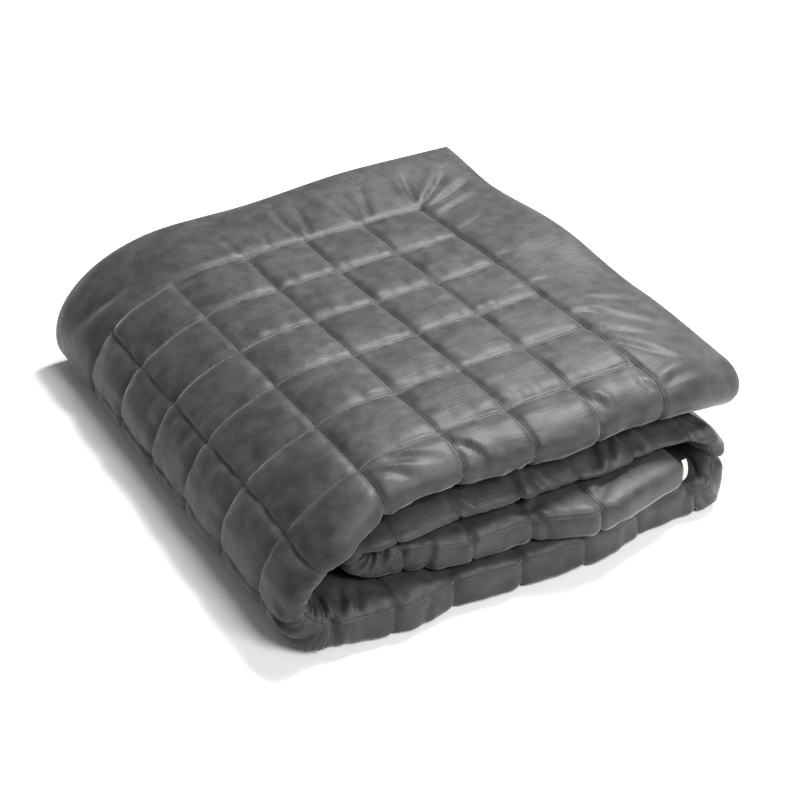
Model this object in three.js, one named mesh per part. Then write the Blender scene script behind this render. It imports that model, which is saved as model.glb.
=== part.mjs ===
// Winter quilt, folded: doubled across its width, then folded over itself into four layers.
// Millimetres, +Z up. The quilt's length runs along X, its doubled edge faces -Y.
import * as THREE from 'three';

// Driving sizes
const SQUARE = 90;
const MARGIN_SQUARES = 1.4;
const SQUARES_LONG = 25;
const SQUARES_HALF_WIDE = 6;
const FIRST_ROW_Y = 214.6;
const GROOVE_DEPTH = 7;
const FOLD_GROOVE_DEPTH = 9;
const FULL_THICKNESS = 42;
const SLIT = 2.4;
const SLIT_END = 30;
const SLIT_TAPER = 24;
const HEM_DROP = 8;
const HEM_LIFT = 2;

// The uneven filling: where the stack is fuller, and where its front and its free corner sag
const FRONT_RISE = 0.085;
const RISE_LENGTH = 450;
const BACK_RISE = 0.075;
const HEM_SWELL = 0.065;
const FRONT_SAG = 9;
const SAG_LEVEL = 112;
const SAG_SPREAD = 26;
const HEM_DROOP = 8;
const CORNER_DROOP = 12;

// One row for each place where the doubled cloth starts, bends, straightens or ends, from
// the hem that lies on top to the hem inside. bend is the form of the stretch that ends
// there: flat, over (level turning upright) or under (upright turning level). outer and
// inner are the cloth's two faces. squares counts the quilting along the length. front is
// the reach of the doubled edge, fold its depth, box how square it is, back the hem's reach.
const ROUTE = [
  { place: 'top hem', bend: 'flat', outerX: 306, outerZ: 158, innerX: 304, innerZ: 109,
    squares: -1.4, front: -292, fold: 40, box: 2.0, back: 340 },
  { place: 'top right', bend: 'flat', outerX: 180, outerZ: 160, innerX: 180, innerZ: 108,
    squares: 0.0, front: -300, fold: 42, box: 2.0, back: 340 },
  { place: 'top middle', bend: 'flat', outerX: 60, outerZ: 160, innerX: 60, innerZ: 114.5,
    squares: 1.33, front: -300, fold: 44, box: 2.0, back: 340 },
  { place: 'shoulder', bend: 'flat', outerX: -117, outerZ: 160, innerX: -125, innerZ: 118.5,
    squares: 3.4, front: -292, fold: 44, box: 2.0, back: 340 },
  { place: 'left side', bend: 'over', outerX: -306, outerZ: 36, innerX: -268, innerZ: 53,
    squares: 6.0, front: -302, fold: 34, box: 2.2, back: 336 },
  { place: 'left foot', bend: 'under', outerX: -262, outerZ: 0, innerX: -252, innerZ: 44,
    squares: 7.1, front: -318, fold: 26, box: 2.8, back: 333 },
  { place: 'bottom left', bend: 'flat', outerX: -120, outerZ: 0, innerX: -120, innerZ: 44,
    squares: 8.9, front: -332, fold: 20, box: 3.4, back: 332 },
  { place: 'bottom middle', bend: 'flat', outerX: 40, outerZ: 0, innerX: 40, innerZ: 44,
    squares: 10.9, front: -342, fold: 18, box: 3.6, back: 331 },
  { place: 'right foot', bend: 'flat', outerX: 240, outerZ: 0, innerX: 225, innerZ: 44,
    squares: 13.25, front: -334, fold: 22, box: 3.2, back: 331 },
  { place: 'right side', bend: 'over', outerX: 272, outerZ: 55, innerX: 235, innerZ: 61,
    squares: 14.0, front: -322, fold: 32, box: 2.2, back: 330 },
  { place: 'right shoulder', bend: 'under', outerX: 215, outerZ: 104.5, innerX: 215, innerZ: 82,
    squares: 14.95, front: -313, fold: 34, box: 2.0, back: 329 },
  { place: 'second middle', bend: 'flat', outerX: 20, outerZ: 112.5, innerX: 20, innerZ: 84,
    squares: 17.5, front: -307, fold: 36, box: 2.0, back: 327 },
  { place: 'second left', bend: 'flat', outerX: -110, outerZ: 114.5, innerX: -110, innerZ: 85,
    squares: 19.25, front: -300, fold: 34, box: 2.0, back: 327 },
  { place: 'inner turn', bend: 'flat', outerX: -165, outerZ: 110.5, innerX: -165, innerZ: 85,
    squares: 19.95, front: -294, fold: 30, box: 2.0, back: 326 },
  { place: 'inner side', bend: 'over', outerX: -228, outerZ: 80, innerX: -197, innerZ: 84.2,
    squares: 20.8, front: -286, fold: 30, box: 2.4, back: 325 },
  { place: 'inner foot', bend: 'under', outerX: -190, outerZ: 45.5, innerX: -190, innerZ: 83.4,
    squares: 21.6, front: -290, fold: 26, box: 2.8, back: 325 },
  { place: 'third left', bend: 'flat', outerX: -87, outerZ: 45.5, innerX: -87, innerZ: 83.4,
    squares: 23.0, front: -304, fold: 22, box: 3.0, back: 324 },
  { place: 'third middle', bend: 'flat', outerX: 59, outerZ: 45.5, innerX: 59, innerZ: 82.5,
    squares: 25.0, front: -350, fold: 22, box: 3.0, back: 324 },
  { place: 'inside hem', bend: 'flat', outerX: 190, outerZ: 45.5, innerX: 190, innerZ: 80.5,
    squares: 26.4, front: -334, fold: 24, box: 2.8, back: 324 },
];

// Where a section is taken in each square of quilting, and in a margin, hem first. The
// filling has its full height between a square's inner steps, flat where it rests.
const SQUARE_STEPS = [0, 0.22, 0.78];
const FULL_PUFF = 0.79;
const MARGIN_STEPS = [MARGIN_SQUARES, 1.27, 0.8, 0.3];

// Turns round the doubled edge, in degrees from the outer face to the inner one
const FOLD_ANGLES = [18, 48, 75, 100, 122, 145, 166];
const FOLD_SEAM_ANGLE = 122;
const FOLD_SEAM_DEPTH = 4;

// Depths along Y of the faces that lie inside the folded quilt
const HIDDEN_STEPS = [-200, -80, 60, 200];

const { clamp, lerp, smoothstep, degToRad } = THREE.MathUtils;

// A number between two rows' numbers, levelling off at both rows
function ease(from, to, t) {
  return lerp(from, to, smoothstep(t, 0, 1));
}

// A point in XZ on the stretch between two rows' points
function bendPoint(bend, fromX, fromZ, toX, toZ, t) {
  const turn = (t * Math.PI) / 2;
  if (bend === 'over') {
    return { x: lerp(fromX, toX, Math.sin(turn)), z: lerp(fromZ, toZ, 1 - Math.cos(turn)) };
  }
  if (bend === 'under') {
    return { x: lerp(fromX, toX, 1 - Math.cos(turn)), z: lerp(fromZ, toZ, Math.sin(turn)) };
  }
  return { x: lerp(fromX, toX, t), z: lerp(fromZ, toZ, t) };
}

// Everything that the route says at one place along the quilting
function stationAt(squares) {
  const found = ROUTE.findIndex((row) => row.squares >= squares);
  const index = clamp(found, 1, ROUTE.length - 1);
  const a = ROUTE[index - 1];
  const b = ROUTE[index];
  const t = (squares - a.squares) / (b.squares - a.squares);
  const outer = bendPoint(b.bend, a.outerX, a.outerZ, b.outerX, b.outerZ, t);
  const inner = bendPoint(b.bend, a.innerX, a.innerZ, b.innerX, b.innerZ, t);
  const unevenness = 3 * Math.sin(2.1 * squares + 0.7) + 2 * Math.sin(3.7 * squares);
  return {
    squares,
    outer,
    inner,
    thickness: Math.hypot(outer.x - inner.x, outer.z - inner.z),
    front: ease(a.front, b.front, t) + unevenness,
    fold: ease(a.fold, b.fold, t),
    box: ease(a.box, b.box, t),
    back: ease(a.back, b.back, t),
  };
}

// Places along the length at which a section is taken
function stationPlaces() {
  const places = MARGIN_STEPS.map((step) => -step);
  for (let square = 0; square < SQUARES_LONG; square += 1) {
    places.push(...SQUARE_STEPS.map((step) => square + step));
  }
  places.push(SQUARES_LONG);
  places.push(...MARGIN_STEPS.map((step) => SQUARES_LONG + step).reverse());
  return places;
}

// How full the filling is between two lines of stitching: 0 on a line, 1 between them
function puff(squares) {
  return Math.min(1, Math.sqrt(Math.abs(Math.sin(Math.PI * squares))) / FULL_PUFF);
}

// How far a place along the length lies in a margin, in squares
function marginReach(squares) {
  return Math.max(0, -squares, squares - SQUARES_LONG);
}

// How full the filling is at a place along the length and across the width
function filling(along, across) {
  const reach = Math.max(marginReach(along), -across);
  if (reach > 0) {
    return Math.sqrt(smoothstep(reach, 0, 0.5));
  }
  return puff(along) * puff(across);
}

// How near a place is to a hem: 1 on its edge, 0 where the cloth has its full thickness
function hemNearness(reach) {
  return smoothstep(reach, 1.1, MARGIN_SQUARES) ** 2;
}

// The section across the quilt as places in Y and depths below the outer face
function sectionAt(station) {
  const { squares, thickness, front, fold, box, back } = station;
  const middle = thickness / 2;
  const groove = GROOVE_DEPTH * Math.min(1, thickness / FULL_THICKNESS);
  const foldGroove = FOLD_GROOVE_DEPTH * Math.min(1, thickness / FULL_THICKNESS);
  const endHem = hemNearness(marginReach(squares));
  const points = [];

  // The outer face, from its hem to the doubled edge
  const rows = MARGIN_STEPS.map((step) => -step);
  for (let row = 0; row < SQUARES_HALF_WIDE - 1; row += 1) {
    rows.push(...SQUARE_STEPS.map((step) => row + step));
  }
  rows.push(SQUARES_HALF_WIDE - 1);
  const hemY = FIRST_ROW_Y + MARGIN_SQUARES * SQUARE;
  for (const row of rows) {
    const hem = Math.max(endHem, hemNearness(-row));
    const depth = groove * (1 - filling(squares, row)) + HEM_DROP * hem;
    const shift = (back - hemY) * clamp(-row / MARGIN_SQUARES, 0, 1);
    points.push([FIRST_ROW_Y - row * SQUARE + shift, depth]);
  }

  // The doubled edge, round from the outer face to the inner one
  const along = marginReach(squares) > 0 ? 1 : puff(squares);
  for (const angle of FOLD_ANGLES) {
    const turn = degToRad(angle);
    const level = Math.cos(turn);
    const roundness = 2 / box;
    const y = fold * (1 - Math.sin(turn) ** roundness);
    const n = middle * (1 - Math.sign(level) * Math.abs(level) ** roundness);
    const seam = angle === FOLD_SEAM_ANGLE ? FOLD_SEAM_DEPTH : 0;
    const depth = foldGroove * (1 - along) * Math.sin(turn) + seam;
    const inward = Math.hypot(fold - y, middle - n);
    const drop = HEM_DROP * endHem * level;
    points.push([
      front + y + (depth * (fold - y)) / inward,
      n + (depth * (middle - n)) / inward + drop,
    ]);
  }

  // The inner face, back to its hem
  const innerDepth = thickness - groove * (1 - along) - HEM_DROP * endHem;
  for (const y of HIDDEN_STEPS) {
    points.push([y, innerDepth]);
  }
  points.push([back - 10, innerDepth]);
  points.push([back, thickness - HEM_DROP]);

  // The slit between the two thicknesses of cloth, open at the back
  const slitEnd = front + SLIT_END;
  const half = SLIT / 2;
  points.push([back, middle + half + HEM_LIFT]);
  for (const y of [...HIDDEN_STEPS].reverse()) {
    points.push([y, middle + half]);
  }
  points.push([slitEnd + SLIT_TAPER, middle + half]);
  points.push([slitEnd, middle]);
  points.push([slitEnd + SLIT_TAPER, middle - half]);
  for (const y of HIDDEN_STEPS) {
    points.push([y, middle - half]);
  }
  points.push([back, middle - half - HEM_LIFT]);
  return points;
}

// How high a point stands on the uneven stack
function levelAt(squares, x, y, z) {
  const right = smoothstep(x, -50, 150) * smoothstep(y, FIRST_ROW_Y, FIRST_ROW_Y + MARGIN_SQUARES * SQUARE);
  const swell = smoothstep(x, 120, 300) * Math.exp(-(((y - 85) / 100) ** 2));
  const front = smoothstep((FIRST_ROW_Y - y) / RISE_LENGTH, 0, 1);
  const rise = 1 + FRONT_RISE * front + BACK_RISE * right + HEM_SWELL * swell;
  const sag = FRONT_SAG * Math.exp(-(((z - SAG_LEVEL) / SAG_SPREAD) ** 2)) * smoothstep(-y, 180, 290);
  const droop = HEM_DROOP * smoothstep(-y, -50, 100) + CORNER_DROOP * smoothstep(-y, 100, 280);
  return z * rise - sag - droop * smoothstep(-squares, 0.3, MARGIN_SQUARES);
}

// A section's point in space: between the two faces
function placePoint(station, y, depth) {
  const { squares, outer, inner, thickness } = station;
  const t = depth / thickness;
  const x = lerp(outer.x, inner.x, t);
  return new THREE.Vector3(x, y, levelAt(squares, x, y, lerp(outer.z, inner.z, t)));
}

// One closed body from sections with equal numbers of points, whose ends both face +X
function loft(sections) {
  const count = sections[0].length;
  const positions = sections.flat().flatMap((point) => point.toArray());
  const indices = [];
  for (let row = 0; row < sections.length - 1; row += 1) {
    for (let k = 0; k < count; k += 1) {
      const next = (k + 1) % count;
      const a = row * count + k;
      const b = row * count + next;
      const c = a + count;
      const d = b + count;
      indices.push(a, c, b);
      indices.push(b, c, d);
    }
  }
  for (const row of [0, sections.length - 1]) {
    const contour = sections[row].map(({ y, z }) => new THREE.Vector2(y, z));
    for (const [i, j, k] of THREE.ShapeUtils.triangulateShape(contour, [])) {
      indices.push(row * count + i, row * count + j, row * count + k);
    }
  }
  const geometry = new THREE.BufferGeometry();
  geometry.setAttribute('position', new THREE.Float32BufferAttribute(positions, 3));
  geometry.setIndex(indices);
  geometry.computeVertexNormals();
  return geometry;
}

// The quilt: one piece of quilted velvet, doubled and folded
function makeQuilt() {
  const stations = stationPlaces().map(stationAt);
  const sections = stations.map((station) =>
    sectionAt(station).map(([y, depth]) => placePoint(station, y, depth)));
  const material = new THREE.MeshStandardMaterial({
    color: 0x5c5c5d,
    roughness: 0.7,
    metalness: 0,
  });
  const mesh = new THREE.Mesh(loft(sections), material);
  mesh.name = 'quilt';
  return mesh;
}

// The blank label in the inside hem, curved round its doubled edge
const LABEL = { reach: 7, thickness: 1, gap: 0.3, lowZ: 52, highZ: 83, frontY: -330, curve: 26 };

function makeLabel() {
  const middleZ = (LABEL.lowZ + LABEL.highZ) / 2;
  const halfHeight = (LABEL.highZ - LABEL.lowZ) / 2;
  const halfAngle = Math.asin(halfHeight / LABEL.curve);
  const centreY = LABEL.frontY + LABEL.curve;
  const outline = new THREE.Shape();
  outline.absarc(centreY, middleZ, LABEL.curve, Math.PI - halfAngle, Math.PI + halfAngle, false);
  outline.absarc(centreY, middleZ, LABEL.curve - LABEL.thickness,
    Math.PI + halfAngle, Math.PI - halfAngle, true);
  const geometry = new THREE.ExtrudeGeometry(outline, {
    depth: LABEL.reach,
    bevelEnabled: false,
    curveSegments: 8,
  });
  const material = new THREE.MeshStandardMaterial({
    color: 0xe9e9e6,
    roughness: 0.6,
    metalness: 0,
  });
  const mesh = new THREE.Mesh(geometry, material);
  mesh.name = 'care_label';
  // The outline is drawn in YZ, and its depth runs along X
  mesh.rotation.set(Math.PI / 2, Math.PI / 2, 0);
  mesh.position.x = ROUTE[ROUTE.length - 1].outerX + LABEL.gap;
  return mesh;
}

const quiltFolded = new THREE.Group();
quiltFolded.add(makeQuilt());
quiltFolded.add(makeLabel());

// The origin is the middle of the box's underside
const extent = new THREE.Box3().setFromObject(quiltFolded);
const centre = extent.getCenter(new THREE.Vector3());
quiltFolded.position.set(-centre.x, -centre.y, -extent.min.z);

export default quiltFolded;
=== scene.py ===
"""A winter quilt of grey velvet, quilted in squares, doubled over and folded in four layers."""
import logging
import math
from dataclasses import dataclass, field
from enum import Enum
from typing import Any

import bmesh
import bpy
import numpy as np
from mathutils import Matrix, Vector


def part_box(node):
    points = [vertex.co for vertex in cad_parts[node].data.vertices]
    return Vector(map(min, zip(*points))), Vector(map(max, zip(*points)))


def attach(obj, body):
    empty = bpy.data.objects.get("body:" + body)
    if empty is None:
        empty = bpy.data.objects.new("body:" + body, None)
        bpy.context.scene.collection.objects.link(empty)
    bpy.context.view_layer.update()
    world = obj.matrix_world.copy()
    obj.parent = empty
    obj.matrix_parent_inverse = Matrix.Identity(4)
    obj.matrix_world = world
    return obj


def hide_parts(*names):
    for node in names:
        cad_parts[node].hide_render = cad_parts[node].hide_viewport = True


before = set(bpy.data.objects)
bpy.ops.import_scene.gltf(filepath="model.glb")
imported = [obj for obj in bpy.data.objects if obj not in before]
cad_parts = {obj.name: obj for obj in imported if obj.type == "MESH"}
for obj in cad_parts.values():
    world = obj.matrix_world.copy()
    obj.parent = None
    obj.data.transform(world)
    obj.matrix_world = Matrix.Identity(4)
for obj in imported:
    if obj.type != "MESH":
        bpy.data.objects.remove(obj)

LOG = logging.getLogger("quilt")
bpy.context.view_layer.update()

# Driving sizes in metres, and along the cloth in squares of the quilting
SQUARE = 0.090
MARGIN = 1.4
SQUARES_LONG = 25
SQUARES_WIDE = 12
FIRST_ROW_Y = 0.2146
HEM_Y = FIRST_ROW_Y + MARGIN * SQUARE
NOSE_START = 5.0
NOSE_END = 7.0
CENTRING = Vector((0.0001, 0.0051, 0.0))


class Bend(Enum):
    """The form of the stretch of the fold that ends at a place."""

    FLAT = "flat"
    OVER = "over"
    UNDER = "under"


@dataclass(frozen=True)
class Place:
    """A place where the doubled cloth starts, bends, straightens or ends."""

    name: str
    bend: Bend
    outer: tuple[float, float]
    inner: tuple[float, float]
    squares: float
    front: float
    fold: float
    box: float
    back: float


ROUTE = (
    Place("top hem", Bend.FLAT, (0.306, 0.158), (0.304, 0.109), -1.4, -0.292, 0.040, 2.0, 0.340),
    Place("top right", Bend.FLAT, (0.180, 0.160), (0.180, 0.1080), 0.0, -0.300, 0.042, 2.0, 0.340),
    Place("top middle", Bend.FLAT, (0.060, 0.160), (0.060, 0.1145), 1.33, -0.300, 0.044, 2.0, 0.340),
    Place("shoulder", Bend.FLAT, (-0.117, 0.160), (-0.125, 0.1185), 3.4, -0.292, 0.044, 2.0, 0.340),
    Place("left side", Bend.OVER, (-0.306, 0.036), (-0.268, 0.053), 6.0, -0.302, 0.034, 2.2, 0.336),
    Place("left foot", Bend.UNDER, (-0.262, 0.0), (-0.252, 0.044), 7.1, -0.318, 0.026, 2.8, 0.333),
    Place("bottom left", Bend.FLAT, (-0.120, 0.0), (-0.120, 0.044), 8.9, -0.332, 0.020, 3.4, 0.332),
    Place("bottom middle", Bend.FLAT, (0.040, 0.0), (0.040, 0.044), 10.9, -0.342, 0.018, 3.6, 0.331),
    Place("right foot", Bend.FLAT, (0.240, 0.0), (0.225, 0.044), 13.25, -0.334, 0.022, 3.2, 0.331),
    Place("right side", Bend.OVER, (0.272, 0.055), (0.235, 0.061), 14.0, -0.322, 0.032, 2.2, 0.330),
    Place("right shoulder", Bend.UNDER, (0.215, 0.1045), (0.215, 0.0820), 14.95, -0.313, 0.034, 2.0,
          0.329),
    Place("second middle", Bend.FLAT, (0.020, 0.1125), (0.020, 0.0840), 17.5, -0.307, 0.036, 2.0,
          0.327),
    Place("second left", Bend.FLAT, (-0.110, 0.1145), (-0.110, 0.0850), 19.25, -0.300, 0.034, 2.0,
          0.327),
    Place("inner turn", Bend.FLAT, (-0.165, 0.1105), (-0.165, 0.0850), 19.95, -0.294, 0.030, 2.0,
          0.326),
    Place("inner side", Bend.OVER, (-0.228, 0.080), (-0.197, 0.0842), 20.8, -0.286, 0.030, 2.4,
          0.325),
    Place("inner foot", Bend.UNDER, (-0.190, 0.0455), (-0.190, 0.0834), 21.6, -0.290, 0.026, 2.8,
          0.325),
    Place("third left", Bend.FLAT, (-0.087, 0.0455), (-0.087, 0.0834), 23.0, -0.304, 0.022, 3.0,
          0.324),
    Place("third middle", Bend.FLAT, (0.059, 0.0455), (0.059, 0.0825), 25.0, -0.350, 0.022, 3.0,
          0.324),
    Place("inside hem", Bend.FLAT, (0.190, 0.0455), (0.190, 0.0805), 26.4, -0.334, 0.024, 2.8, 0.324),
)


def smooth(x: np.ndarray, low: float, high: float) -> np.ndarray:
    """Return 0 below low and 1 above high, with a soft rise between."""
    t = np.clip((x - low) / (high - low), 0.0, 1.0)
    return t * t * (3.0 - 2.0 * t)


def soft_noise(x: np.ndarray, y: np.ndarray, seed: int) -> np.ndarray:
    """Return smooth noise from -1 to 1 with about one hill per unit.

    Args:
        x: First coordinates.
        y: Second coordinates.
        seed: Which noise it is.

    Returns:
        A value for each pair of coordinates.
    """
    size = 64
    table = np.random.default_rng(seed).uniform(-1.0, 1.0, (size, size))
    cell_x, cell_y = np.floor(x).astype(int), np.floor(y).astype(int)
    across, up = smooth(x - cell_x, 0.0, 1.0), smooth(y - cell_y, 0.0, 1.0)
    low = table[cell_x % size, cell_y % size] * (1 - across)
    low = low + table[(cell_x + 1) % size, cell_y % size] * across
    high = table[cell_x % size, (cell_y + 1) % size] * (1 - across)
    high = high + table[(cell_x + 1) % size, (cell_y + 1) % size] * across
    return low * (1 - up) + high * up


@dataclass(frozen=True)
class Crease:
    """A soft trough with a ridge beside it, from one place on the cloth to another, in squares."""

    start: tuple[float, float]
    end: tuple[float, float]
    width: float
    depth: float
    ridge: float = 0.6
    bow: float = 0.0
    least_width: float = 0.058
    ridge_place: float = 1.7
    ridge_spread: float = 1.2

    def drop(self, s: np.ndarray, v: np.ndarray) -> np.ndarray:
        """Return how deep the crease takes the cloth, in metres.

        Args:
            s: Places along the cloth.
            v: Places across it.

        Returns:
            A depth for each place, negative on the ridge.
        """
        run_s, run_v = self.end[0] - self.start[0], self.end[1] - self.start[1]
        length = math.hypot(run_s, run_v)
        way = ((s - self.start[0]) * run_s + (v - self.start[1]) * run_v) / length ** 2
        side = ((v - self.start[1]) * run_s - (s - self.start[0]) * run_v) / length
        side = side - self.bow * 4 * way * (1 - way)
        side = side / (max(self.width, self.least_width) * (0.8 + 0.5 * way.clip(0, 1)))
        fade = smooth(way, -0.08, 0.20) * smooth(-way, -1.05, -0.40)
        trough = np.exp(-(side ** 2))
        ridge = np.exp(-(((side - self.ridge_place) / self.ridge_spread) ** 2))
        return self.depth * fade * (trough - self.ridge * ridge)

    def add_to(self, total: np.ndarray, s: np.ndarray, v: np.ndarray, strength: float) -> None:
        """Add the crease's depth to the places near it.

        Args:
            total: The depths so far, which are changed.
            s: Places along the cloth.
            v: Places across it.
            strength: What the depth is multiplied by.
        """
        middle = [(a + b) / 2 for a, b in zip(self.start, self.end)]
        reach = math.dist(self.start, self.end) / 2 + 4 * self.width + abs(self.bow)
        near = (np.abs(s - middle[0]) < reach) & (np.abs(v - middle[1]) < reach)
        total[near] += strength * self.drop(s[near], v[near])


# The creases that show, from their sharp end to where they run out
CREASES = (
    # The border's corner at the back of the top
    Crease((-0.05, -0.02), (-1.00, -0.85), 0.070, 0.0034, 0.7, -0.05),
    Crease((-0.02, -0.08), (-0.30, -1.00), 0.070, 0.0022, 0.7, 0.04),
    Crease((-0.10, 0.10), (-1.30, -0.45), 0.080, 0.0026, 0.7, -0.04),
    Crease((-0.08, 0.42), (-1.20, 0.05), 0.090, 0.0020, 0.6, 0.03),
    Crease((-0.05, 0.95), (-0.80, 0.75), 0.060, 0.0012, 0.5),
    # The border along the right of the top
    Crease((0.00, 3.62), (-0.62, 4.05), 0.055, 0.0018, 0.6, 0.02),
    Crease((-0.25, 3.70), (-1.20, 4.60), 0.090, 0.0020, 0.6, -0.10),
    Crease((0.00, 4.05), (-0.75, 4.75), 0.060, 0.0015, 0.6, -0.05),
    Crease((-0.02, 4.36), (-0.85, 5.45), 0.065, 0.0020, 0.7, -0.09),
    Crease((-0.40, 3.45), (-1.20, 3.80), 0.070, 0.0014, 0.6, -0.03),
    Crease((-0.03, 2.70), (-0.45, 2.85), 0.060, 0.0010, 0.4),
    Crease((-0.03, 1.90), (-0.40, 1.95), 0.060, 0.0009, 0.4),
    Crease((-0.02, 5.55), (-0.90, 5.50), 0.080, 0.0022, 0.7, 0.05),
    # The border along the back of the top
    Crease((2.02, -0.03), (1.92, -1.30), 0.055, 0.0026, 0.8, 0.08),
    Crease((1.86, -0.06), (1.70, -1.05), 0.050, 0.0020, 0.7, -0.05),
    Crease((1.00, -0.03), (1.12, -0.95), 0.060, 0.0022, 0.7, 0.05),
    Crease((0.80, -0.10), (0.55, -0.90), 0.055, 0.0016, 0.6),
    Crease((3.02, -0.03), (3.10, -0.75), 0.060, 0.0014, 0.6, 0.04),
    Crease((2.55, -0.05), (2.50, -0.60), 0.050, 0.0012, 0.6),
    Crease((4.40, -0.40), (5.60, -0.85), 0.110, 0.0016, 0.6, 0.06),
    # The doubled edge of the top layer
    Crease((2.97, 5.28), (2.66, 5.98), 0.040, 0.0026, 0.9, 0.07),
    Crease((2.05, 6.02), (2.56, 5.50), 0.055, 0.0020, 0.8, -0.03),
    Crease((2.10, 6.10), (2.78, 5.66), 0.050, 0.0018, 0.8),
    Crease((2.06, 4.84), (1.74, 5.00), 0.032, 0.0018, 0.6),
    Crease((0.96, 5.30), (0.82, 5.74), 0.042, 0.0022, 0.8, 0.03),
    Crease((0.17, 5.32), (0.03, 5.66), 0.036, 0.0018, 0.7, -0.03),
    Crease((3.95, 5.05), (3.44, 5.42), 0.038, 0.0020, 0.7),
    Crease((3.97, 5.22), (3.50, 5.78), 0.042, 0.0024, 0.8, 0.04),
    Crease((3.78, 5.08), (3.16, 5.56), 0.045, 0.0016, 0.7),
    Crease((4.96, 5.62), (4.55, 5.80), 0.045, 0.0018, 0.7),
    Crease((5.05, 5.80), (5.50, 5.55), 0.050, 0.0018, 0.7),
    Crease((5.98, 5.80), (5.60, 5.45), 0.045, 0.0018, 0.7),
    # The left foot: a fan of pleats under the pinch, and the pleats inside it
    Crease((6.62, 5.96), (6.15, 5.35), 0.050, 0.0034, 0.8, 0.03),
    Crease((6.68, 5.94), (6.42, 5.20), 0.042, 0.0034, 0.9),
    Crease((6.74, 5.94), (6.66, 5.10), 0.040, 0.0030, 0.9),
    Crease((6.82, 5.94), (6.92, 5.15), 0.040, 0.0028, 0.9),
    Crease((6.20, 5.95), (5.90, 5.30), 0.055, 0.0024, 0.7),
    Crease((6.80, 6.06), (7.10, 6.62), 0.045, 0.0040, 0.8),
    Crease((7.08, 6.08), (7.30, 6.60), 0.042, 0.0040, 0.9),
    Crease((7.20, 6.08), (7.44, 6.60), 0.045, 0.0036, 0.9),
    Crease((7.45, 6.08), (7.66, 6.55), 0.050, 0.0028, 0.8),
    Crease((6.40, 6.05), (6.60, 6.70), 0.055, 0.0034, 0.8),
    Crease((7.02, 5.97), (7.22, 5.62), 0.085, 0.0070, 0.5, 0.04),
    Crease((7.30, 5.96), (7.42, 5.60), 0.040, 0.0024, 0.7),
    Crease((8.56, 5.98), (8.42, 5.66), 0.034, 0.0018, 0.8),
    # The second layer's folds, under the top one
    Crease((16.44, 5.30), (16.86, 5.96), 0.065, 0.0040, 0.9, 0.05),
    Crease((16.14, 5.36), (16.52, 5.94), 0.050, 0.0034, 0.9),
    Crease((15.90, 5.36), (15.70, 5.94), 0.055, 0.0034, 0.8, -0.03),
    Crease((17.96, 5.40), (18.02, 6.00), 0.040, 0.0034, 0.9),
    Crease((17.78, 5.42), (17.58, 5.98), 0.045, 0.0032, 0.8),
    Crease((19.02, 5.60), (18.80, 6.00), 0.040, 0.0026, 0.8),
    Crease((15.24, 5.20), (15.06, 5.92), 0.060, 0.0042, 0.8),
    Crease((14.86, 5.30), (14.60, 5.95), 0.060, 0.0034, 0.8),
    # The inner turn's pleats and the third layer's
    Crease((21.80, 6.25), (21.38, 5.66), 0.042, 0.0040, 0.9, 0.08),
    Crease((21.55, 6.22), (21.20, 5.55), 0.045, 0.0038, 0.9, 0.05),
    Crease((21.30, 6.05), (20.96, 5.40), 0.048, 0.0034, 0.9),
    Crease((20.62, 6.05), (20.90, 5.45), 0.050, 0.0030, 0.8),
    Crease((22.42, 6.08), (22.22, 5.36), 0.046, 0.0046, 1.0, 0.02),
    Crease((22.05, 6.06), (21.75, 5.70), 0.040, 0.0026, 0.8),
    Crease((24.06, 6.10), (24.30, 5.72), 0.042, 0.0036, 0.9),
    Crease((24.04, 6.16), (24.42, 6.38), 0.045, 0.0026, 0.8),
    Crease((23.96, 6.12), (23.70, 6.30), 0.038, 0.0018, 0.7),
    Crease((25.02, 6.02), (25.50, 5.70), 0.060, 0.0024, 0.8),
    Crease((25.02, 6.15), (25.60, 6.45), 0.070, 0.0022, 0.7),
    Crease((26.30, 5.30), (25.70, 5.50), 0.050, 0.0022, 0.7),
    # The right end of the bottom layer
    Crease((13.04, 6.04), (13.36, 5.66), 0.046, 0.0040, 0.9),
    Crease((13.00, 6.10), (12.72, 5.80), 0.040, 0.0026, 0.8),
    Crease((13.20, 6.15), (13.60, 6.40), 0.055, 0.0040, 0.8),
    Crease((13.90, 6.05), (14.10, 5.40), 0.060, 0.0030, 0.8),
)


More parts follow.
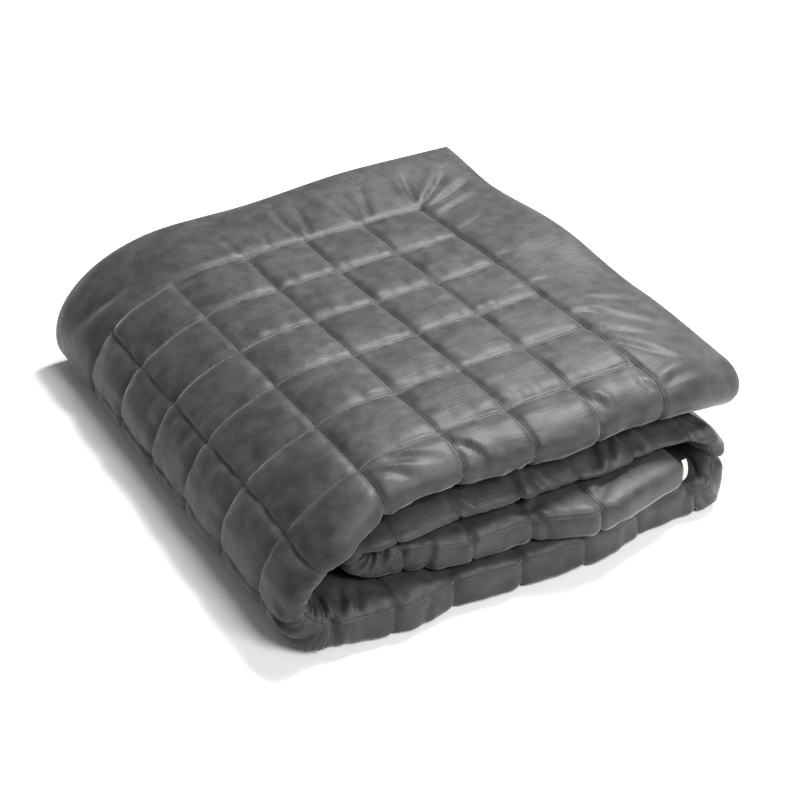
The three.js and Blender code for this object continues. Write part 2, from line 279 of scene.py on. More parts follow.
@dataclass
class FoldRoute:
    """The way the doubled cloth runs through the folded stack, from the top hem inwards."""

    places: tuple[Place, ...] = ROUTE
    step: float = 0.02
    softness: float = 0.13
    table: dict[str, np.ndarray] = field(default_factory=dict)

    def __post_init__(self) -> None:
        """Work out every column of the route at small steps along the cloth."""
        squares = np.arange(self.places[0].squares, self.places[-1].squares + self.step, self.step)
        rows = np.array([self.at(float(s)) for s in squares])
        names = ("outer_x", "outer_z", "inner_x", "inner_z", "front", "fold", "box", "back")
        reach = int(4 * self.softness / self.step)
        offsets = np.arange(-reach, reach + 1) * self.step
        kernel = np.exp(-0.5 * (offsets / self.softness) ** 2)
        kernel /= kernel.sum()
        for column, name in enumerate(names):
            values = rows[:, column]
            start = 2 * values[0] - values[reach:0:-1]
            end = 2 * values[-1] - values[-2:-reach - 2:-1]
            padded = np.concatenate([start, values, end])
            self.table[name] = np.convolve(padded, kernel, mode="valid")
        self.table["squares"] = squares

    def at(self, squares: float) -> list[float]:
        """Return the route's columns at one place along the cloth.

        Args:
            squares: The place, in squares from the first line of stitching.

        Returns:
            The two faces' places in X and Z, then front, fold, box and back.
        """
        index = next((i for i, p in enumerate(self.places) if p.squares >= squares),
                     len(self.places) - 1)
        b = self.places[max(index, 1)]
        a = self.places[max(index, 1) - 1]
        t = (squares - a.squares) / (b.squares - a.squares)
        turn = t * math.pi / 2
        across, up = {
            Bend.OVER: (math.sin(turn), 1 - math.cos(turn)),
            Bend.UNDER: (1 - math.cos(turn), math.sin(turn)),
            Bend.FLAT: (t, t),
        }[b.bend]
        ease = t * t * (3 - 2 * t)
        values = []
        for start, end in ((a.outer, b.outer), (a.inner, b.inner)):
            values.append(start[0] + (end[0] - start[0]) * across)
            values.append(start[1] + (end[1] - start[1]) * up)
        for start, end in ((a.front, b.front), (a.fold, b.fold), (a.box, b.box), (a.back, b.back)):
            values.append(start + (end - start) * ease)
        return values

    def column(self, name: str, squares: np.ndarray) -> np.ndarray:
        """Return one column of the route at many places along the cloth."""
        return np.interp(squares, self.table["squares"], self.table[name])


@dataclass
class QuiltShape:
    """The folded quilt's surface, from places along (s) and across (v) the cloth, in squares."""

    route: FoldRoute = field(default_factory=FoldRoute)
    slit: float = 0.0024
    slit_end: float = 0.034
    slit_taper: float = 0.024
    slit_start: float = SQUARES_WIDE + MARGIN
    slit_reach: float = 2.6
    seam_line: float = 6.0
    seam_angle: float = math.radians(122)
    nose_steps: int = 40
    uneven_front: tuple[float, float] = (0.003, 0.002)
    groove: float = 0.0062
    fold_groove: float = 0.0024
    seam_share: float = 0.25
    nose_share: float = 0.55
    foot_box: float = 0.8
    third_forward: float = 0.012
    third_place: float = 22.9
    third_reach: float = 0.8
    pinch: float = 0.0024
    pucker: float = 0.0013
    lump: float = 0.0014
    ridge_height: float = 0.0020
    crease_depth: float = 1.35
    gather_reach: float = 0.03
    pinch_reach: float = 0.07
    pucker_reach: float = 0.09
    puckers_per_square: float = 7.0
    hem_width: float = 0.30
    hem_depth: float = 0.0083
    tight_turn: float = 20.75
    tight_reach: float = 0.5
    tight_share: float = 0.8
    front_rise: float = 0.085
    rise_length: float = 0.450
    back_rise: float = 0.075
    hem_swell: float = 0.065
    front_sag: float = 0.009
    sag_level: float = 0.112
    sag_spread: float = 0.026
    hem_droop: float = 0.008
    corner_droop: float = 0.012
    full_thickness: float = 0.042
    hidden_relief: float = 0.35

    def section(self, s: np.ndarray, v: np.ndarray) -> tuple[np.ndarray, np.ndarray]:
        """Return places in Y and depths below the outer face, without relief.

        Args:
            s: Places along the cloth.
            v: Places across it, running on past the hem into the slit.

        Returns:
            Y and depth for each place.
        """
        thickness = self.thickness(s)
        front, back = self.front(s), self.route.column("back", s)
        shift = (back - HEM_Y) * np.clip(-v / MARGIN, 0.0, 1.0)
        y = FIRST_ROW_Y - v * SQUARE + shift
        depth = np.zeros_like(y)
        last_row_y = FIRST_ROW_Y - NOSE_START * SQUARE
        inner = v >= NOSE_END
        across = (v - NOSE_END) / (self.slit_start - NOSE_END)
        y = np.where(inner, last_row_y + across * (back - last_row_y), y)
        depth = np.where(inner, thickness, depth)
        nose = (v > NOSE_START) & (v < NOSE_END)
        y[nose], depth[nose] = self.nose(s[nose], v[nose], last_row_y)
        slit = v > self.slit_start
        way = (v - self.slit_start) / self.slit_reach
        inward = 1.0 - np.abs(1.0 - np.clip(way, 0.0, 2.0))
        end = front + self.slit_end
        gap = self.slit / 2 * np.clip((1.0 - inward) * (back - end) / self.slit_taper, 0.0, 1.0)
        y = np.where(slit, back + (end - back) * inward, y)
        depth = np.where(slit, thickness / 2 + gap * np.sign(1.0 - way), depth)
        return y, depth

    def nose(self, s: np.ndarray, v: np.ndarray, start_y: float) -> tuple[np.ndarray, np.ndarray]:
        """Return Y and depth on the doubled edge, evenly spaced along the cloth.

        Args:
            s: Places along the cloth.
            v: Places across it, from 5 on the outer face to 7 on the inner one.
            start_y: Where the last rows on the two flat faces lie.

        Returns:
            Y and depth for each place.
        """
        half = self.thickness(s)[:, None] / 2
        front = self.front(s)[:, None]
        fold = self.route.column("fold", s)[:, None]
        turns = np.linspace(0.0, math.pi, self.nose_steps + 1)[None, :]
        level = np.cos(turns)
        pressed = self.pressed(s)[:, None] * (level > 0.0)
        roundness = 2.0 / (self.route.column("box", s)[:, None] * (1.0 + self.foot_box * pressed))
        y = front + fold * (1.0 - np.sin(turns).clip(0.0) ** roundness)
        depth = half * (1.0 - np.sign(level) * np.abs(level) ** roundness)
        y = np.concatenate([np.full_like(front, start_y), y, np.full_like(front, start_y)], axis=1)
        depth = np.concatenate([np.zeros_like(front), depth, 2 * half], axis=1)
        steps = np.hypot(np.diff(y, axis=1), np.diff(depth, axis=1))
        reach = np.concatenate([np.zeros_like(front), np.cumsum(steps, axis=1)], axis=1)
        seam = 1 + int(round(self.seam_angle / math.pi * self.nose_steps))
        to_seam, total = reach[:, seam], reach[:, -1]
        first = v <= self.seam_line
        beyond = to_seam + (v - self.seam_line) * (total - to_seam)
        target = np.where(first, (v - NOSE_START) * to_seam, beyond)
        index = (reach < target[:, None]).sum(axis=1) - 1
        index = index.clip(0, reach.shape[1] - 2)
        rows = np.arange(len(s))
        part = (target - reach[rows, index]) / np.maximum(
            reach[rows, index + 1] - reach[rows, index], 1e-9)
        return (y[rows, index] + part * (y[rows, index + 1] - y[rows, index]),
                depth[rows, index] + part * (depth[rows, index + 1] - depth[rows, index]))

    def front(self, s: np.ndarray) -> np.ndarray:
        """Return how far forward the doubled edge reaches, a little uneven.

        Args:
            s: Places along the cloth.

        Returns:
            A place in Y for each.
        """
        broad, narrow = self.uneven_front
        uneven = broad * np.sin(2.1 * s + 0.7) + narrow * np.sin(3.7 * s)
        forward = np.exp(-(((s - self.third_place) / self.third_reach) ** 2))
        return self.route.column("front", s) + uneven - self.third_forward * forward

    def pressed(self, s: np.ndarray) -> np.ndarray:
        """Return 1 where the doubled cloth lies on its outer face, on the floor or a layer."""
        bottom = smooth(s, 7.1, 8.0) * smooth(-s, -14.0, -13.2)
        return bottom + smooth(s, 21.4, 22.2)

    def thickness(self, s: np.ndarray) -> np.ndarray:
        """Return the doubled cloth's thickness.

        Args:
            s: Places along the cloth.

        Returns:
            A thickness for each.
        """
        outer_x, outer_z = self.route.column("outer_x", s), self.route.column("outer_z", s)
        inner_x, inner_z = self.route.column("inner_x", s), self.route.column("inner_z", s)
        return np.hypot(outer_x - inner_x, outer_z - inner_z)

    def envelope(self, s: np.ndarray, v: np.ndarray) -> np.ndarray:
        """Return the places of the cloth's full, unstitched surface.

        Args:
            s: Places along the cloth.
            v: Places across it.

        Returns:
            X, Y and Z for each place.
        """
        y, depth = self.section(s, v)
        t = depth / self.thickness(s)
        x = (1 - t) * self.route.column("outer_x", s) + t * self.route.column("inner_x", s)
        z = (1 - t) * self.route.column("outer_z", s) + t * self.route.column("inner_z", s)
        return np.stack([x, y, self.level(x, y, z, s)], axis=1)

    def level(self, x: np.ndarray, y: np.ndarray, z: np.ndarray, s: np.ndarray) -> np.ndarray:
        """Return the heights with the stack's uneven filling: fuller and lower places.

        Args:
            x: Places in X.
            y: Places in Y.
            z: Heights on the even stack.
            s: Places along the cloth.

        Returns:
            The heights on the uneven stack.
        """
        right = smooth(x, -0.05, 0.15) * smooth(y, FIRST_ROW_Y, HEM_Y)
        swell = smooth(x, 0.12, 0.30) * np.exp(-(((y - 0.085) / 0.10) ** 2))
        rise = self.front_rise * smooth(FIRST_ROW_Y - y, 0.0, self.rise_length)
        rise = rise + self.back_rise * right + self.hem_swell * swell
        sag = self.front_sag * np.exp(-(((z - self.sag_level) / self.sag_spread) ** 2))
        droop = self.hem_droop * smooth(-y, -0.05, 0.10) + self.corner_droop * smooth(-y, 0.10, 0.28)
        z = z * (1.0 + rise) - sag * smooth(-y, 0.180, 0.290)
        return z - droop * smooth(-s, 0.3, MARGIN)

    def normals(self, s: np.ndarray, v: np.ndarray) -> np.ndarray:
        """Return the outward directions of the unstitched surface.

        Args:
            s: Places along the cloth.
            v: Places across it.

        Returns:
            A unit vector for each place.
        """
        step = self.route.step
        low_s, high_s = self.route.places[0].squares, self.route.places[-1].squares
        along = self.envelope(np.minimum(s + step, high_s), v)
        along = along - self.envelope(np.maximum(s - step, low_s), v)
        top_v = self.slit_start + 2 * self.slit_reach
        across = self.envelope(s, np.minimum(v + step, top_v))
        across = across - self.envelope(s, np.maximum(v - step, -MARGIN))
        normal = np.cross(along, across)
        return normal / np.maximum(np.linalg.norm(normal, axis=1, keepdims=True), 1e-12)

    def margin_reach(self, s: np.ndarray, v: np.ndarray) -> np.ndarray:
        """Return how far places lie out in the plain border.

        Args:
            s: Places along the cloth.
            v: Places across it.

        Returns:
            A distance in squares for each place, 0 within the quilting.
        """
        beyond = np.maximum(np.maximum(-s, s - SQUARES_LONG), np.maximum(-v, v - SQUARES_WIDE))
        end = np.maximum(-s, s - SQUARES_LONG)
        slit_way = np.clip((v - self.slit_start) / self.slit_reach, 0.0, 2.0)
        inward = (1.0 - np.abs(1.0 - slit_way)) * (self.slit_start - self.seam_line)
        slit = np.maximum(end, MARGIN - inward)
        return np.where(v > self.slit_start, slit, beyond).clip(0.0)

    def relief(self, s: np.ndarray, v: np.ndarray) -> np.ndarray:
        """Return how deep the cloth lies below its full surface: grooves, hems and creases.

        Args:
            s: Places along the cloth.
            v: Places across it.

        Returns:
            A depth for each place.
        """
        reach = self.margin_reach(s, v)
        edge = np.clip((reach - (MARGIN - self.hem_width)) / self.hem_width, 0.0, 1.0)
        hem = self.hem_depth * (1.0 - np.sqrt(np.maximum(1.0 - edge * edge, 0.0)))
        inside = reach <= 0.0
        to_row, to_column = np.abs(s - np.round(s)), np.abs(v - np.round(v))
        along = puff(to_row)
        across = puff(to_column)
        on_seam = np.round(v) == self.seam_line
        across = np.where(on_seam, 1.0 - self.seam_share * (1.0 - across), across)
        full = np.where(inside, along * across, puff(np.minimum(reach, 0.5)))
        nose = smooth(v, 4.9, 5.6) * smooth(-v, -7.1, -6.4)
        gather = self.fold_groove * nose * np.exp(-to_row / self.gather_reach) * inside
        crossing = np.hypot(to_row, to_column)
        pinch = self.pinch * np.exp(-((crossing / self.pinch_reach) ** 2)) * inside
        outside = v <= self.slit_start
        scale = np.clip(self.thickness(s) / self.full_thickness, 0.0, 1.0)
        scale = scale * (1.0 - (1.0 - self.hidden_relief) * smooth(v, 6.9, 7.5))
        sewn = self.groove * (1.0 - full) * (1.0 - self.nose_share * nose) + gather + pinch
        tight = np.exp(-(((s - self.tight_turn) / self.tight_reach) ** 2)) * smooth(v, 12.0, 13.0)
        hem = hem * scale ** 0.6 * (1.0 - self.tight_share * tight)
        return (hem + np.where(outside, sewn, 0.0)) * scale + self.wrinkles(s, v, inside)

    def wrinkles(self, s: np.ndarray, v: np.ndarray, inside: np.ndarray) -> np.ndarray:
        """Return the depth of creases, of puckers along the stitching and of uneven filling.

        Args:
            s: Places along the cloth.
            v: Places across it.
            inside: Whether they are within the quilted squares.

        Returns:
            A depth for each place.
        """
        total = np.zeros_like(s)
        for crease in CREASES:
            crease.add_to(total, s, v, self.crease_depth)
        row, column = np.round(s), np.round(v)
        waves, other_side, apart = self.puckers_per_square, 3.3, 5.0
        by_row = soft_noise(v * waves + other_side * (s > row), row * apart, 3)
        by_column = soft_noise(s * waves + other_side * (v > column), column * apart, 4)
        puckers = self.beside(np.abs(s - row)) * by_row + self.beside(np.abs(v - column)) * by_column
        total += self.pucker * puckers * inside
        total += self.lump * soft_noise(s * 1.7, v * 1.7, 5)
        total += self.lump / 2 * soft_noise(s * 4.1, v * 3.3, 6)
        free = smooth(-self.margin_reach(s, v), -1.32, -1.05) * smooth(-v, -6.9, -6.5)
        free = free * (1.0 - self.pressed(s) * smooth(-v, -5.75, -5.55))
        return np.maximum(total, -self.ridge_height) * free

    def beside(self, distance: np.ndarray) -> np.ndarray:
        """Return how strong puckers are at a distance in squares from a line of stitching."""
        return distance / self.pucker_reach * np.exp(1.0 - distance / self.pucker_reach)

    def surface(self, s: np.ndarray, v: np.ndarray) -> np.ndarray:
        """Return the places of the stitched cloth's surface, which closes at the hem.

        Args:
            s: Places along the cloth.
            v: Places across it.

        Returns:
            X, Y and Z for each place, none of them below the floor.
        """
        v = np.where(v > self.slit_start + 2 * self.slit_reach - 1e-4, -MARGIN, v)
        depth = self.relief(s, v)
        places = self.envelope(s, v) - self.normals(s, v) * depth[:, None]
        places[:, 2] = np.maximum(places[:, 2], 0.0)
        return places


def puff(distance: np.ndarray) -> np.ndarray:
    """Return how full the filling is beside a line of stitching.

    Args:
        distance: Distances from the line, in squares.

    Returns:
        0 on the line, 1 in the middle of a square.
    """
    steep_reach, steep_share = 0.045, 0.68
    near = 1.0 - np.exp(-distance / steep_reach)
    broad = 1.0 - (1.0 - 2.0 * np.minimum(distance, 0.5)) ** 2
    return steep_share * near + (1.0 - steep_share) * broad


@dataclass(frozen=True)
class Socket:
    """A shader socket that can be used in a Python expression."""

    tree: Any
    link: Any

    def math(self, operation: str, *others: Any, clamp: bool = False) -> "Socket":
        """Return this socket joined with others by a Math node.

        Args:
            operation: The Math node's operation.
            *others: Numbers or sockets.
            clamp: Whether the result is held from 0 to 1.

        Returns:
            The node's output.
        """
        values = {index: value for index, value in enumerate((self, *others))}
        return node(self.tree, "ShaderNodeMath", {"operation": operation, "use_clamp": clamp}, values)

    def __add__(self, other: Any) -> "Socket":
        """Return the sum."""
        return self.math("ADD", other)

    __radd__ = __add__

    def __mul__(self, other: Any) -> "Socket":
        """Return the product."""
        return self.math("MULTIPLY", other)

    __rmul__ = __mul__

    def __sub__(self, other: Any) -> "Socket":
        """Return the difference."""
        return self.math("SUBTRACT", other)

    def __rsub__(self, other: Any) -> "Socket":
        """Return the difference from a number."""
        return (self * -1.0).math("ADD", other)

    def rise(self, low: float, high: float) -> "Socket":
        """Return 0 below low and 1 above high, with a soft rise between."""
        settings = {"interpolation_type": "SMOOTHSTEP", "clamp": True}
        return node(self.tree, "ShaderNodeMapRange", settings, {0: self, 1: low, 2: high, 3: 0.0, 4: 1.0})


def node(tree: Any, kind: str, settings: dict[str, Any], values: dict[Any, Any],
         output: Any = 0) -> Socket:
    """Add a shader node.

    Args:
        tree: The material's node tree.
        kind: The node's type.
        settings: Its properties, set before its sockets.
        values: Numbers, colours or sockets for its inputs, by name or place.
        output: The output wanted, by name or place.

    Returns:
        That output.
    """
    made = tree.nodes.new(kind)
    for name, value in settings.items():
        setattr(made, name, value)
    for name, value in values.items():
        if isinstance(value, Socket):
            tree.links.new(value.link, made.inputs[name])
        else:
            made.inputs[name].default_value = value
    return Socket(tree, made.outputs[output])


def mix_colour(low: Any, high: Any, factor: Socket) -> Socket:
    """Return a colour between two colours."""
    values = {"Factor": factor, 6: low, 7: high}
    return node(factor.tree, "ShaderNodeMix", {"data_type": "RGBA"}, values, 2)


@dataclass(frozen=True)
class VelvetFinish:
    """Short brushed velvet: mottled where the pile leans differently, with rows of stitches, and painted
    shade darkening the velvet along each row.
    """

    dark: tuple[float, float, float, float] = (0.013, 0.0132, 0.0135, 1.0)
    light: tuple[float, float, float, float] = (0.048, 0.0474, 0.0467, 1.0)
    roughness: float = 0.54
    specular: float = 0.33
    sheen: float = 0.50
    sheen_roughness: float = 0.30
    roughness_spread: float = 0.24
    broad_hills: float = 16.0
    patch_hills: float = 48.0
    pile_hills: float = 900.0
    stitches: float = 36.0
    pitch_share: float = 0.62
    # How much painted shade darkens the velvet along the rows of stitching
    painted_groove_shade: float = 0.45
    thread_shade: float = 0.5

    def material(self) -> bpy.types.Material:
        """Return the velvet's material.

        Returns:
            A material whose colour varies by place and by the cloth's own squares, with painted shade
            along the rows of stitching.
        """
        made = bpy.data.materials.new("velvet")
        made.use_nodes = True
        tree = made.node_tree
        shader = tree.nodes["Principled BSDF"]
        place = node(tree, "ShaderNodeTexCoord", {}, {}, "Object")
        cloth = node(tree, "ShaderNodeUVMap", {"uv_map": "cloth"}, {}, "UV")
        along = node(tree, "ShaderNodeSeparateXYZ", {}, {0: cloth}, 0)
        across = node(tree, "ShaderNodeSeparateXYZ", {}, {0: cloth}, 1)
        broad = self.noise(tree, place, self.broad_hills, 3.0)
        patch = self.noise(tree, place, self.patch_hills, 5.0)
        pile = self.noise(tree, place, self.pile_hills, 2.0)
        streaks = self.brushed(tree, along * 3.0, across * 26.0)
        row, thread = self.sewing(along, across)
        mottle = (broad * 0.4 + patch * 0.6).rise(0.34, 0.66)
        tone = mottle * 0.6 + pile * 0.15 + streaks * 0.25
        # Painted shade: the colour is darkened along each row of stitching, where the groove lies in
        # shade; the thread shows lighter on top
        shade = tone * (1.0 - row * self.painted_groove_shade) + thread * self.thread_shade
        colour = mix_colour(self.dark, self.light, shade)
        tree.links.new(colour.link, shader.inputs["Base Color"])
        rough = self.roughness + (patch - 0.5) * self.roughness_spread
        tree.links.new(rough.link, shader.inputs["Roughness"])
        bumps = ((0.50, 0.0021, patch), (0.40, 0.0009, streaks), (0.35, 0.0003, pile),
                 (0.90, 0.0006, thread - row))
        normal = None
        for strength, distance, height in bumps:
            values = {"Strength": strength, "Distance": distance, "Height": height}
            if normal:
                values["Normal"] = normal
            normal = node(tree, "ShaderNodeBump", {}, values)
        tree.links.new(normal.link, shader.inputs["Normal"])
        shader.inputs["Specular IOR Level"].default_value = self.specular
        shader.inputs["Sheen Weight"].default_value = self.sheen
        shader.inputs["Sheen Roughness"].default_value = self.sheen_roughness
        shader.inputs["Sheen Tint"].default_value = (0.8, 0.8, 0.8, 1.0)
        return made

    def noise(self, tree: Any, place: Socket, scale: float, detail: float) -> Socket:
        """Return a noise with so many hills to the unit of the place."""
        values = {"Vector": place, "Scale": scale, "Detail": detail, "Roughness": 0.55}
        return node(tree, "ShaderNodeTexNoise", {}, values, "Fac")

    def brushed(self, tree: Any, along: Socket, across: Socket) -> Socket:
        """Return fine streaks that run along the cloth."""
        place = node(tree, "ShaderNodeCombineXYZ", {}, {0: along, 1: across})
        return self.noise(tree, place, 1.0, 3.0)

    def sewing(self, along: Socket, across: Socket) -> tuple[Socket, Socket]:
        """Return the painted-shade bands along the rows of stitching, and the stitches in them.

        Args:
            along: Places along the cloth, in squares.
            across: Places across it, in squares.

        Returns:
            Two masks: the band along each drawn-in row, which darkens the colour as painted shade in the
                groove and also dips the bump, and the thread.
        """
        rows, threads = [], []
        for run, beside, run_count, count in ((across, along, SQUARES_WIDE, SQUARES_LONG),
                                              (along, across, SQUARES_LONG, SQUARES_WIDE)):
            gap = (beside - beside.math("ROUND")).math("ABSOLUTE") * (SQUARE * 1000)
            within = self.within(run, run_count) * self.within(beside, count)
            dash = (run * self.stitches).math("FRACT").math("LESS_THAN", self.pitch_share)
            # Painted shade band, dark within about 1.7 mm of each row of stitching
            rows.append((1.0 - gap.rise(0.5, 1.7)) * within)
            threads.append((1.0 - gap.rise(0.35, 0.7)) * within * dash)
        return rows[0].math("MAXIMUM", rows[1]), threads[0].math("MAXIMUM", threads[1])

    def within(self, place: Socket, count: int) -> Socket:
        """Return 1 within the quilted squares and 0 in the border."""
        return (place - count / 2).math("ABSOLUTE").math("LESS_THAN", count / 2 + 0.02)


@dataclass(frozen=True)
class PlainFinish:
    """A plain finish, with a faint weave where it is asked for: label ribbon or floor."""

    name: str
    colour: tuple[float, float, float, float]
    roughness: float = 0.7
    weave: float = 0.0

    def material(self) -> bpy.types.Material:
        """Return the finish's material.

        Returns:
            A material of one colour, or of two that a weave mixes.
        """
        made = bpy.data.materials.new(self.name)
        made.use_nodes = True
        tree = made.node_tree
        shader = tree.nodes["Principled BSDF"]
        shader.inputs["Base Color"].default_value = self.colour
        shader.inputs["Roughness"].default_value = self.roughness
        if self.weave:
            place = node(tree, "ShaderNodeTexCoord", {}, {}, "Object")
            threads = node(tree, "ShaderNodeTexNoise", {}, {"Vector": place, "Scale": self.weave}, "Fac")
            shade = tuple(c * 0.82 for c in self.colour[:3]) + (1.0,)
            colour = mix_colour(shade, self.colour, threads.rise(0.35, 0.6))
            tree.links.new(colour.link, shader.inputs["Base Color"])
            bump = node(tree, "ShaderNodeBump", {}, {"Strength": 0.3, "Distance": 0.0002,
                                                     "Height": threads})
            tree.links.new(bump.link, shader.inputs["Normal"])
        return made


def new_object(name: str, bm: bmesh.types.BMesh, material: bpy.types.Material) -> bpy.types.Object:
    """Return a smooth-shaded object made from a bmesh, which is freed.

    Args:
        name: The object's name.
        bm: The mesh.
        material: Its material.

    Returns:
        The linked object.
    """
    mesh = bpy.data.meshes.new(name)
    bm.to_mesh(mesh)
    bm.free()
    mesh.materials.append(material)
    mesh.shade_smooth()
    made = bpy.data.objects.new(name, mesh)
    bpy.context.scene.collection.objects.link(made)
    return made


@dataclass
class Quilt:
    """The quilted, doubled and folded cloth."""

    shape: QuiltShape = field(default_factory=QuiltShape)
    coarse: int = 6
    cuts: int = 3
    top_end: float = 7.3
    right_side: tuple[float, float] = (13.0, 15.5)
    closing_way: float = 1.99

    def lines(self, count: int) -> list[float]:
        """Return the mesh's lines over a run of squares and its two margins.

        Args:
            count: How many squares there are.

        Returns:
            Places in squares, closer together towards the hems.
        """
        margin = [MARGIN, 1.385, 1.34, 1.26, 1.16, 1.0, 5 / 6, 4 / 6, 3 / 6, 2 / 6, 1 / 6]
        before = [-reach for reach in margin]
        inside = [step / self.coarse for step in range(count * self.coarse + 1)]
        return before + inside + [count + reach for reach in reversed(margin)]

    def slit_lines(self) -> list[float]:
        """Return the mesh's lines inside the doubled cloth, round to the first hem.

        Returns:
            Places in squares, beyond those across the cloth.
        """
        half = [0.008, 0.02, 0.04, 0.12, 0.3, 0.55, 0.78, 0.9, 0.96]
        way = half + [1.0] + [2.0 - step for step in reversed(half)] + [2.0]
        return [self.shape.slit_start + self.shape.slit_reach * step for step in way]

    def shows(self, s: float, v: float) -> bool:
        """Return whether a place on the cloth needs a fine mesh.

        Args:
            s: The place along the cloth.
            v: The place across it.

        Returns:
            True on the top and left side, the doubled edges and the right side.
        """
        closing = v > self.shape.slit_start + self.closing_way * self.shape.slit_reach
        outside = v <= NOSE_END or closing
        top = s < self.top_end and outside
        edge = NOSE_START < v < NOSE_END
        side = self.right_side[0] < s < self.right_side[1] and 0.0 < v <= NOSE_END
        return top or edge or side

    def lattice(self) -> bmesh.types.BMesh:
        """Return the flat cloth as a grid in squares, finer where it shows.

        Returns:
            The grid's mesh.
        """
        along = self.lines(SQUARES_LONG)
        across = self.lines(SQUARES_WIDE) + self.slit_lines()
        bm = bmesh.new()
        bmesh.ops.create_grid(bm, x_segments=len(along) - 1, y_segments=len(across) - 1, size=0.5)
        for vert in bm.verts:
            column = round((vert.co.x + 0.5) * (len(along) - 1))
            row = round((vert.co.y + 0.5) * (len(across) - 1))
            vert.co = (along[column], across[row], 0.0)
        fine = set()
        for face in bm.faces:
            centre = face.calc_center_median()
            if self.shows(centre.x, centre.y):
                fine.update(face.edges)
        bmesh.ops.subdivide_edges(bm, edges=list(fine), cuts=self.cuts, use_grid_fill=True)
        return bm

    def fold(self, bm: bmesh.types.BMesh) -> None:
        """Lay the flat grid on the folded shape and close it.

        Args:
            bm: The flat grid.
        """
        layer = bm.loops.layers.uv.new("cloth")
        for face in bm.faces:
            for loop in face.loops:
                loop[layer].uv = (loop.vert.co.x, loop.vert.co.y)
        flat = np.array([vert.co for vert in bm.verts])
        places = self.shape.surface(flat[:, 0], flat[:, 1])
        for vert, place in zip(bm.verts, places):
            vert.co = Vector(place) + CENTRING
        bmesh.ops.remove_doubles(bm, verts=bm.verts, dist=2e-5)
        ends = [edge for edge in bm.edges if edge.is_boundary]
        bmesh.ops.edgeloop_fill(bm, edges=ends)
        bmesh.ops.recalc_face_normals(bm, faces=bm.faces)

    def build(self, finish: VelvetFinish) -> bpy.types.Object:
        """Return the finished quilt.

        Args:
            finish: The velvet.

        Returns:
            The quilt's object.
        """
        bm = self.lattice()
        self.fold(bm)
        made = new_object("quilt_cloth", bm, finish.material())
        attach(made, "root")
        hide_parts("quilt")
        return made


@dataclass
class CareLabel:
    """The small blank ribbon sewn into the inside hem, folded in two."""

    reach: float = 0.0066
    ply_gap: float = 0.0005
    ply: float = 0.0003
    standoff: tuple[float, float] = (0.0004, 0.0007)

    def build(self, finish: PlainFinish) -> bpy.types.Object:
        """Return the finished label.

        Args:
            finish: The ribbon.

        Returns:
            The label's object.
        """
        low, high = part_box("care_label")
        length = high[2] - low[2]
        depth = high[1] - low[1]
        curve = (length * length / 4 + depth * depth) / (2 * depth)
        fold = math.pi * self.ply_gap / 2
        width = 2 * self.reach + fold
        bm = bmesh.new()
        bmesh.ops.create_grid(bm, x_segments=24, y_segments=16, size=0.5)
        for vert in bm.verts:
            run = (vert.co.x + 0.5) * width
            up = vert.co.y * length
            turn = min(max(run - self.reach, 0.0), fold) / fold * math.pi
            out = min(run, self.reach) - max(run - self.reach - fold, 0.0)
            out += math.sin(turn) * self.ply_gap / 2
            side = -math.cos(turn) * self.ply_gap / 2
            bow = curve - math.sqrt(curve * curve - up * up)
            middle = (low[2] + high[2]) / 2
            x = low[0] + self.standoff[0] + out
            y = low[1] + self.standoff[1] + side + bow
            vert.co = (x, y, middle + up)
        bmesh.ops.solidify(bm, geom=bm.faces[:], thickness=self.ply)
        bmesh.ops.recalc_face_normals(bm, faces=bm.faces)
        made = new_object("label_ribbon", bm, finish.material())
        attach(made, "root")
        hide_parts("care_label")
        return made


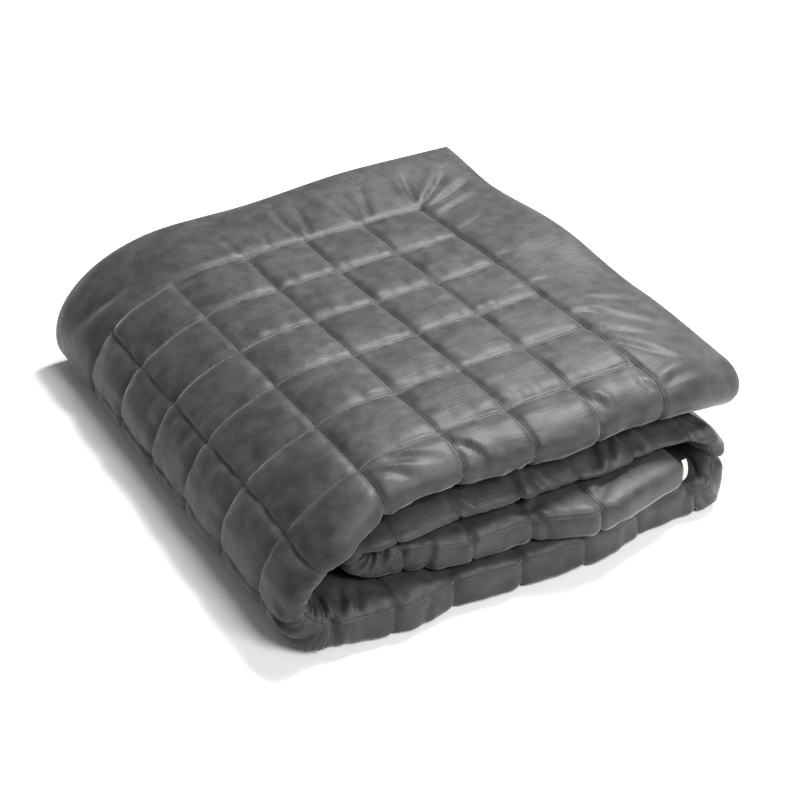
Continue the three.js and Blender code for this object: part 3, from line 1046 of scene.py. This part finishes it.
@dataclass
class Studio:
    """The pale floor, the soft lights and the camera."""

    floor_size: float = 16.0
    camera_place: tuple[float, float, float] = (-0.8037, -1.2812, 1.1151)
    azimuth: float = -32.7
    elevation: float = 35.5
    roll: float = 1.49
    lens: float = 67.5

    def floor(self, finish: PlainFinish) -> bpy.types.Object:
        """Return the floor.

        Args:
            finish: The floor's paint.

        Returns:
            The floor's object.
        """
        bm = bmesh.new()
        bmesh.ops.create_grid(bm, x_segments=1, y_segments=1, size=self.floor_size / 2)
        made = new_object("floor", bm, finish.material())
        return made

    def camera(self) -> bpy.types.Object:
        """Return the camera, which looks as the photograph's does.

        Returns:
            The camera's object.
        """
        data = bpy.data.cameras.new("camera")
        data.lens = self.lens
        made = bpy.data.objects.new("camera", data)
        bpy.context.scene.collection.objects.link(made)
        turn = (Matrix.Rotation(math.radians(self.azimuth), 4, "Z")
                @ Matrix.Rotation(math.radians(90 - self.elevation), 4, "X")
                @ Matrix.Rotation(math.radians(self.roll), 4, "Z"))
        made.matrix_world = Matrix.Translation(Vector(self.camera_place) + CENTRING) @ turn
        bpy.context.scene.camera = made
        return made

    def lamp(self, name: str, place: tuple[float, float, float], size: float,
             power: float) -> bpy.types.Object:
        """Return a soft square lamp that faces the quilt.

        Args:
            name: The lamp's name.
            place: Where it stands.
            size: Its side.
            power: Its power in watts.

        Returns:
            The lamp.
        """
        data = bpy.data.lights.new(name, "AREA")
        data.size = size
        data.energy = power
        made = bpy.data.objects.new(name, data)
        bpy.context.scene.collection.objects.link(made)
        aim = Vector((0.0, 0.0, 0.05)) - Vector(place)
        made.matrix_world = Matrix.Translation(place) @ aim.to_track_quat("-Z", "Y").to_matrix().to_4x4()
        return made

    def sky(self, strength: float) -> None:
        """Light the scene evenly from all round.

        Args:
            strength: How bright the sky is.
        """
        world = bpy.data.worlds.new("sky")
        world.use_nodes = True
        background = world.node_tree.nodes["Background"]
        background.inputs["Color"].default_value = (1.0, 1.0, 1.0, 1.0)
        background.inputs["Strength"].default_value = strength
        bpy.context.scene.world = world

    def build(self) -> None:
        """Set the whole studio up."""
        self.floor(PlainFinish("floor_paint", (0.80, 0.80, 0.80, 1.0), 0.9))
        self.camera()
        self.lamp("key", (1.20, 0.40, 2.15), 0.8, 140.0)
        self.lamp("front", (0.35, -1.9, 2.0), 1.1, 75.0)
        self.sky(0.28)
        bpy.context.scene.view_settings.view_transform = "Standard"


def main() -> None:
    """Build the quilt, its label and the studio, and note the sizes."""
    logging.basicConfig(level=logging.INFO, format="%(message)s")
    pieces = [
        Quilt().build(VelvetFinish()),
        CareLabel().build(PlainFinish("ribbon", (0.52, 0.52, 0.50, 1.0), 0.7, 1800.0)),
    ]
    for piece in pieces:
        LOG.info("%s: %d faces", piece.name, len(piece.data.polygons))
    Studio().build()


if __name__ == "__main__":
    main()
